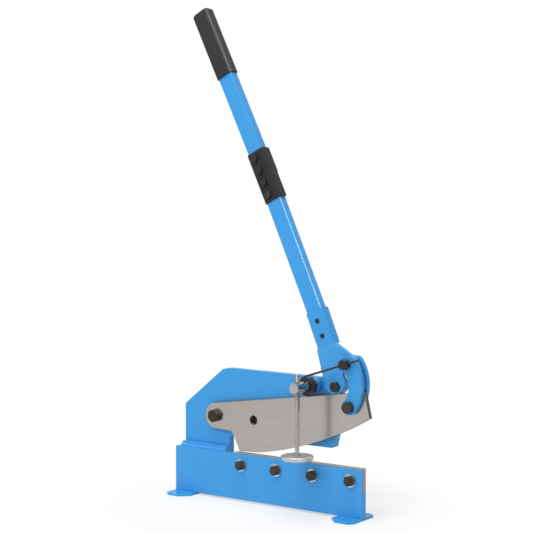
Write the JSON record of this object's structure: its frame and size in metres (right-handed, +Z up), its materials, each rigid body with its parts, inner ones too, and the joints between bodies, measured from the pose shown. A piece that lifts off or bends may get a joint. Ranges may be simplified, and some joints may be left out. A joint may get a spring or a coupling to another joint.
{
  "type": "bench lever shear",
  "caption": "Bench lever shear: a long hand lever drives a pivoting upper blade through curved links past a fixed lower blade, with an adjustable hold-down pad.",
  "frame": {"origin": "centre of the foot bolt holes, on the bench under the base", "axes": "+X to the right along the blades, towards the lever; +Y to the back; +Z up"},
  "size_m": [0.4573, 0.1339, 0.9906],
  "materials": {
    "blue_paint": "bright blue gloss paint",
    "black_oxide": "black oxide",
    "black_sheet": "black satin paint",
    "black_wire": "black oxide wire",
    "blade_steel": "ground steel",
    "zinc": "bright zinc plate",
    "bright_stud": "bright turned steel",
    "grip_rubber": "matt moulded rubber"
  },
  "bodies": {
    "frame": {"base_plate": "blue_paint", "left_foot": "blue_paint", "right_foot": "blue_paint", "frame_plate": "blue_paint", "frame_spacer": "blue_paint", "spacer_weld": "blue_paint", "lower_blade": "blade_steel", "blade_bolts": "black_oxide", "blade_washers": "zinc", "main_pivot_bolt": "black_oxide", "main_pivot_washer": "zinc", "main_pivot_nuts": "black_oxide", "lever_pivot_bolt": "black_oxide", "lever_pivot_nut": "black_oxide", "stud_boss": "blue_paint", "hold_down_stud": "bright_stud", "stud_collar": "black_oxide", "stud_nut": "black_oxide", "stud_rear_nut": "black_oxide"},
    "blade": {"upper_blade": "blade_steel"},
    "lever": {"lever_plate": "blue_paint", "lever_socket": "blue_paint", "socket_bolts": "black_oxide", "lower_tube": "blue_paint", "joint_bracket": "black_sheet", "bracket_bolts": "black_oxide", "bracket_nuts": "black_oxide", "upper_tube": "blue_paint", "grip": "grip_rubber"},
    "links": {"front_link": "blue_paint", "rear_link": "blue_paint", "link_bolt": "black_oxide", "link_nut": "black_oxide"},
    "guide": {"guide_bolt": "black_oxide", "guide_washer": "zinc", "guide_nuts": "black_oxide"},
    "catch": {"catch_rod": "black_wire"},
    "screw": {"hold_down_screw": "zinc"},
    "pad": {"hold_down_pad": "zinc"}
  },
  "joints": [
    {"name": "lever_swing", "type": "hinge", "parent": "frame", "child": "lever", "pos_m": [0.1576, 0.012, 0.2446], "axis": [0, 1, 0], "range_deg": [0, 100]},
    {"name": "blade_swing", "type": "hinge", "parent": "frame", "child": "blade", "pos_m": [-0.1319, 0.012, 0.1642], "axis": [0, 1, 0], "range_deg": [0, 14.4]},
    {"name": "link_swing", "type": "hinge", "parent": "lever", "child": "links", "pos_m": [0.18798, 0.012, 0.29033], "axis": [0, 1, 0], "range_deg": [-86, 0]},
    {"name": "guide_turn", "type": "hinge", "parent": "lever", "child": "guide", "pos_m": [0.18798, 0.012, 0.29033], "axis": [0, 1, 0], "range_deg": [-49.1, 0]},
    {"name": "catch_turn", "type": "hinge", "parent": "frame", "child": "catch", "pos_m": [0.1071, -0.012, 0.2446], "axis": [0, 1, 0], "range_deg": [0, 51.1]},
    {"name": "screw_slide", "type": "slide", "parent": "frame", "child": "screw", "axis": [0, 0, 1], "range_m": [-0.015, 0.03]},
    {"name": "pad_turn", "type": "hinge", "parent": "screw", "child": "pad", "pos_m": [0.1071, -0.0475, 0.11], "axis": [0, 0, 1], "continuous": true}
  ],
  "couplings": [
    {"joint": "blade_swing", "follows": "lever_swing", "ratio": 0.1433},
    {"joint": "link_swing", "follows": "lever_swing", "ratio": -0.8591},
    {"joint": "guide_turn", "follows": "lever_swing", "ratio": -0.49},
    {"joint": "catch_turn", "follows": "lever_swing", "ratio": 0.51}
  ]
}
